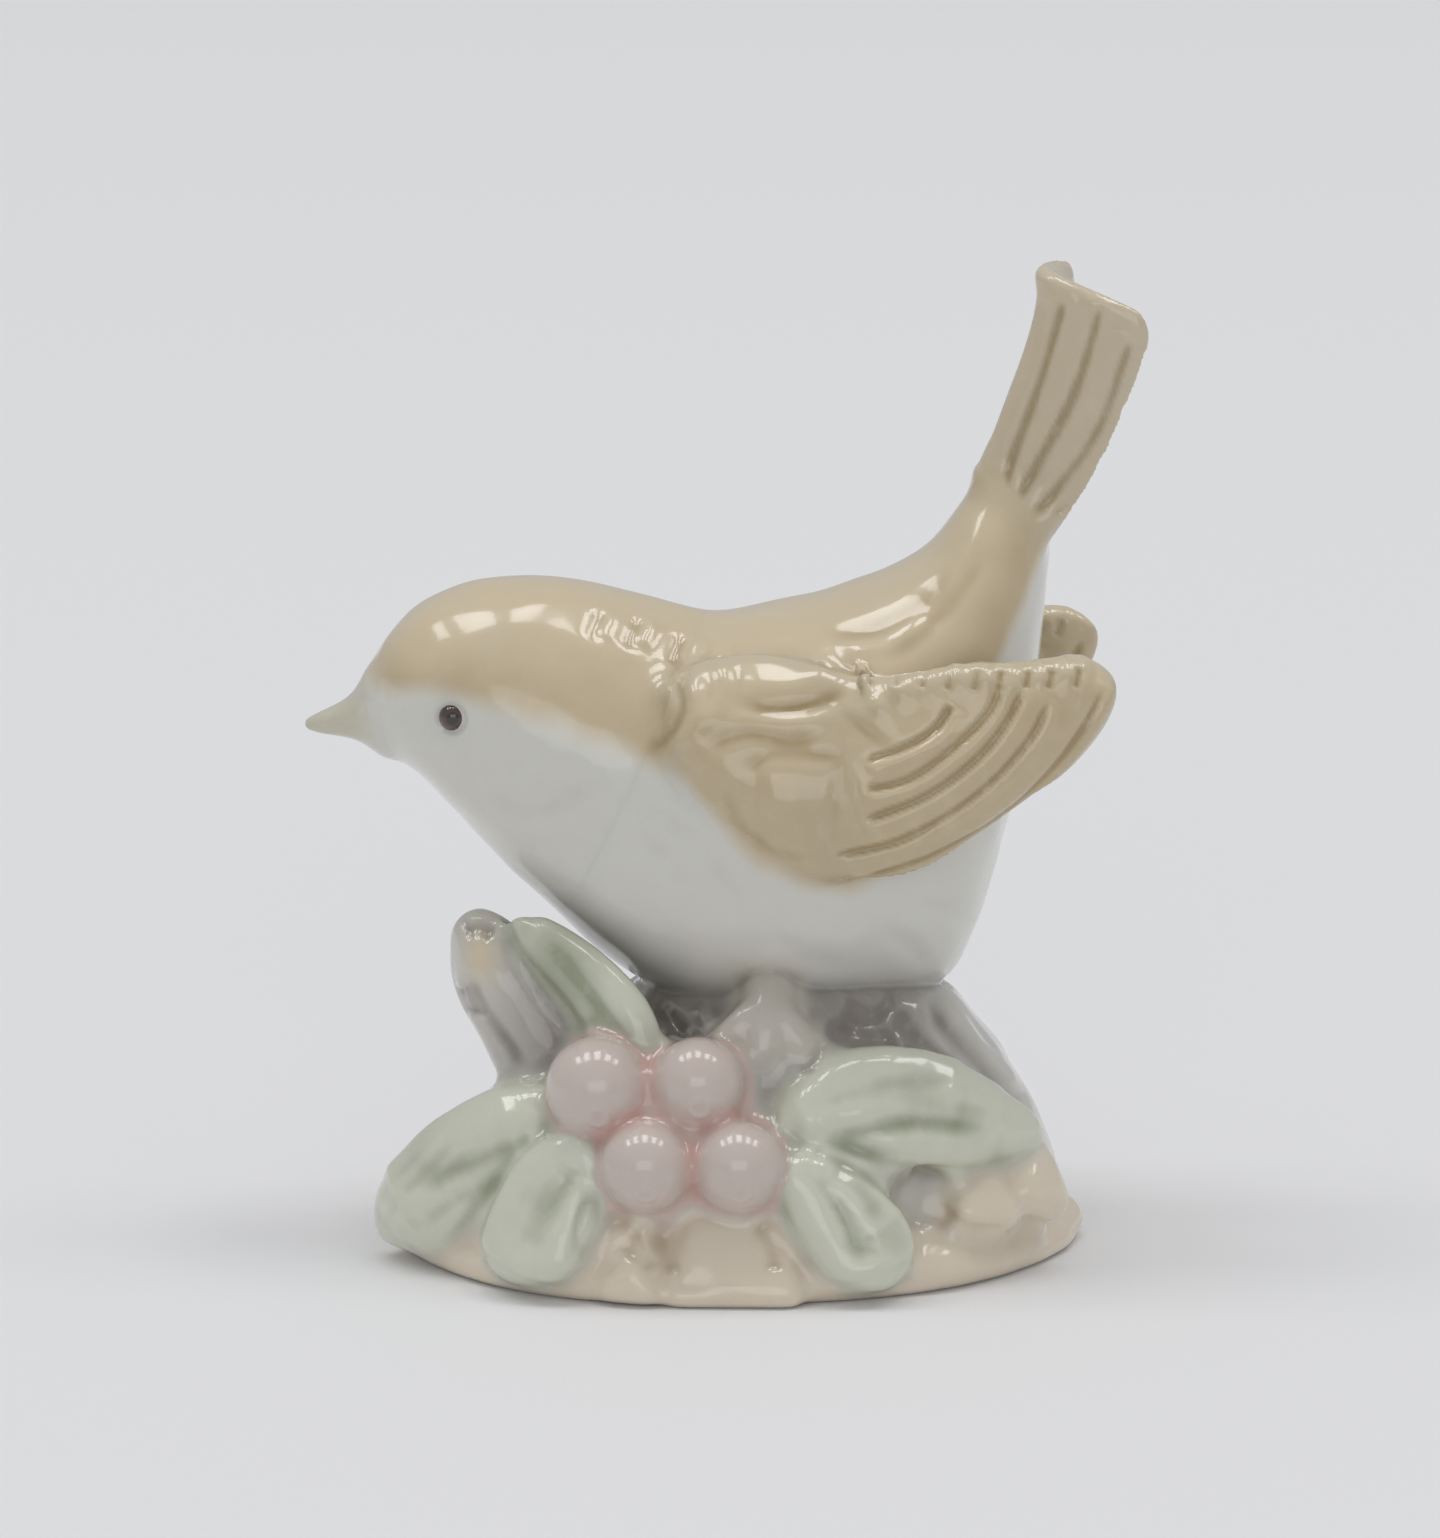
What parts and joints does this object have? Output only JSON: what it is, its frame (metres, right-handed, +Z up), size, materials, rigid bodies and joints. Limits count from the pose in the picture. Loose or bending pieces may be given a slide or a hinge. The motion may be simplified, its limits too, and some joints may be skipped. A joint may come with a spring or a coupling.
{
  "type": "bird figurine",
  "caption": "Glazed porcelain songbird with a cocked tail, perched on a bark stump with leaves, berries and stones on a flat ground base.",
  "frame": {"origin": "middle of the outline in plan, on the flat underside of the ground base", "axes": "+Z up from the table through the tail; the beak points along -X and the bird's left side faces -Y"},
  "size_m": [0.0854, 0.0558, 0.1014],
  "materials": {
    "plumage_white": "gloss",
    "plumage_fawn": "gloss",
    "beak_horn": "gloss",
    "eye_enamel": "gloss",
    "wing_fawn": "gloss",
    "foot_peach": "gloss",
    "ground_peach": "gloss",
    "bark_lavender": "gloss",
    "leaf_green": "gloss",
    "berry_pink": "gloss"
  },
  "bodies": {
    "root": {"body_shell": "plumage_white", "head_shell": "plumage_fawn", "beak": "beak_horn", "left_eye": "eye_enamel", "right_eye": "eye_enamel", "left_wing": "wing_fawn", "right_wing": "wing_fawn", "tail": "wing_fawn", "left_foot": "foot_peach", "right_foot": "foot_peach", "ground_base": "ground_peach", "stump": "bark_lavender", "branch_stub": "bark_lavender", "upper_leaf": "leaf_green", "left_leaf": "leaf_green", "front_left_leaf": "leaf_green", "front_right_leaf": "leaf_green", "right_leaf": "leaf_green", "berry_upper_left": "berry_pink", "berry_upper_right": "berry_pink", "berry_lower_left": "berry_pink", "berry_lower_right": "berry_pink", "front_stone": "ground_peach", "stone_chip_upper": "ground_peach", "stone_chip_lower": "ground_peach", "pebble_large": "ground_peach", "pebble_small": "ground_peach"}
  },
  "joints": []
}
